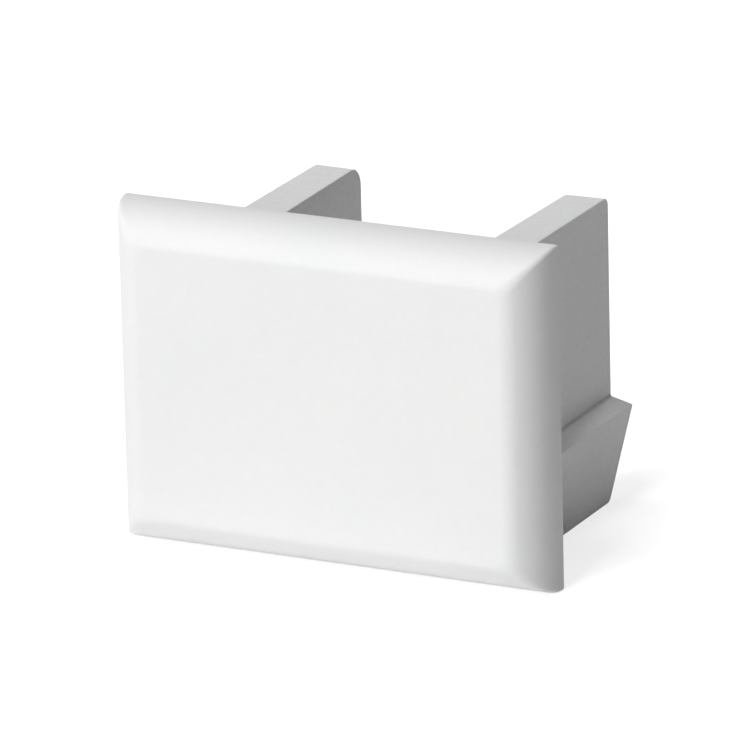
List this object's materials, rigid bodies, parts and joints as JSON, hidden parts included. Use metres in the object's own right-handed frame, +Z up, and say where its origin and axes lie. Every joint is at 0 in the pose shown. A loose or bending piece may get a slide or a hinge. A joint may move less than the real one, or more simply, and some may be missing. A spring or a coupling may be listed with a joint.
{
  "type": "profile end cap",
  "caption": "Rectangular end cap for a hollow profile: face plate with a rounded, mitred border, and parallel legs with a snap barb along their outer faces.",
  "frame": {"origin": "middle of the seat, the flat back of the face plate that closes on the cut end of the profile", "axes": "+Y from the seat into the profile, along the legs; +Z up, away from the foot that the cap stands on; +X to the right across the face, seen from the front"},
  "size_m": [0.025, 0.0181, 0.0186],
  "materials": {
    "cap_plastic": "white moulded plastic with a fine matt texture"
  },
  "bodies": {
    "root": {"end_cap": "cap_plastic"}
  },
  "joints": []
}
